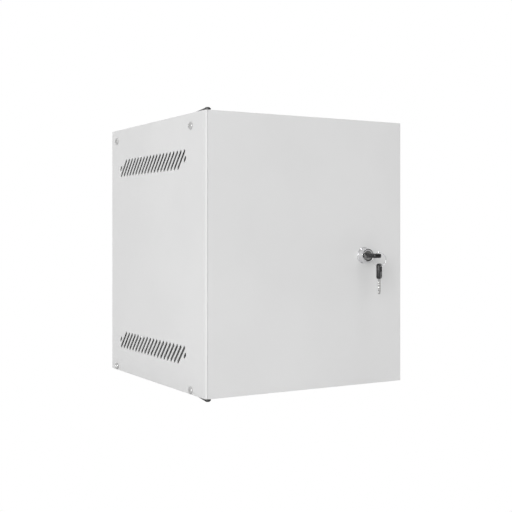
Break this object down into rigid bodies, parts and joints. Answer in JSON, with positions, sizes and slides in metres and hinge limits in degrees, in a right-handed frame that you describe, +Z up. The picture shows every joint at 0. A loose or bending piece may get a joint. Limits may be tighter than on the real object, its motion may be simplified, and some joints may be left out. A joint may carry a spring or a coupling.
{
  "type": "network server rack cabinet",
  "caption": "Small wall-mounting network cabinet with a hinged sheet-metal front door, cam lock, slanted side vents and two equipment rails.",
  "frame": {"origin": "centre of the rear panel's outer face, which hangs against the wall", "axes": "front faces -Y, +X to the right seen from the front, +Z up"},
  "size_m": [0.303, 0.3441, 0.3618],
  "materials": {
    "powder_coat": "light grey fine-texture powder coat, satin",
    "zinc": "bright zinc plating",
    "dark_zinc": "dark passivated steel",
    "chrome": "polished chrome plating",
    "nickel": "satin nickel plating",
    "black_plastic": "moulded black plastic",
    "grey_plastic": "moulded grey plastic",
    "rubber": "matte black rubber"
  },
  "bodies": {
    "cabinet": {"left_side_panel": "powder_coat", "right_side_panel": "powder_coat", "top_panel": "powder_coat", "bottom_panel": "powder_coat", "rear_panel": "powder_coat", "left_rail": "zinc", "right_rail": "zinc", "top_cable_cover": "grey_plastic", "bottom_cable_cover": "grey_plastic", "upper_hinge_strap": "dark_zinc", "lower_hinge_strap": "dark_zinc", "upper_hinge_pin": "dark_zinc", "lower_hinge_pin": "dark_zinc", "upper_hinge_screw_1": "zinc", "upper_hinge_screw_2": "zinc", "lower_hinge_screw_1": "zinc", "lower_hinge_screw_2": "zinc", "upper_left_rail_screw": "zinc", "upper_right_rail_screw": "zinc", "lower_left_rail_screw": "zinc", "lower_right_rail_screw": "zinc", "upper_left_rear_screw": "zinc", "upper_right_rear_screw": "zinc", "lower_left_rear_screw": "zinc", "lower_right_rear_screw": "zinc", "side_screw_left_top_front": "zinc", "side_screw_left_top_rear": "zinc", "side_screw_left_bottom_front": "zinc", "side_screw_left_bottom_rear": "zinc", "side_screw_right_top_front": "zinc", "side_screw_right_top_rear": "zinc", "side_screw_right_bottom_front": "zinc", "side_screw_right_bottom_rear": "zinc", "upper_door_buffer": "rubber", "lower_door_buffer": "rubber", "body_earth_stud": "zinc", "body_earth_nut": "zinc"},
    "door": {"door_panel": "powder_coat", "door_stiffener": "powder_coat", "upper_door_bush": "black_plastic", "lower_door_bush": "black_plastic", "lock_body": "chrome", "lock_nut": "zinc", "door_earth_stud": "zinc", "door_earth_nut": "zinc"},
    "lock_turning_parts": {"lock_plug": "nickel", "lock_cam": "zinc", "cam_screw": "zinc"},
    "key": {"key_blade": "nickel", "key_bow": "black_plastic"},
    "ring": {"key_ring": "chrome"},
    "spare_key": {"spare_key_blade": "nickel", "spare_key_bow": "black_plastic"}
  },
  "joints": [
    {"name": "door_hinge", "type": "hinge", "parent": "cabinet", "child": "door", "pos_m": [-0.1458, -0.307, 0], "axis": [0, 0, -1], "range_deg": [0, 175]},
    {"name": "lock_turn", "type": "hinge", "parent": "door", "child": "lock_turning_parts", "pos_m": [0.087, -0.311, -0.0042], "axis": [0, 1, 0], "range_deg": [0, 90]},
    {"name": "key_pull", "type": "slide", "parent": "lock_turning_parts", "child": "key", "axis": [0, -1, 0], "range_m": [0, 0.024]},
    {"name": "ring_hang", "type": "hinge", "parent": "key", "child": "ring", "pos_m": [0.0922, -0.3383, -0.0042], "axis": [0, 1, 0], "range_deg": [-90, 0]},
    {"name": "spare_key_swing", "type": "hinge", "parent": "ring", "child": "spare_key", "pos_m": [0.0922, -0.3383, -0.0182], "axis": [0.866, -0.5, 0], "range_deg": [-15, 15]}
  ],
  "couplings": [
    {"joint": "ring_hang", "follows": "lock_turn", "ratio": -1}
  ]
}
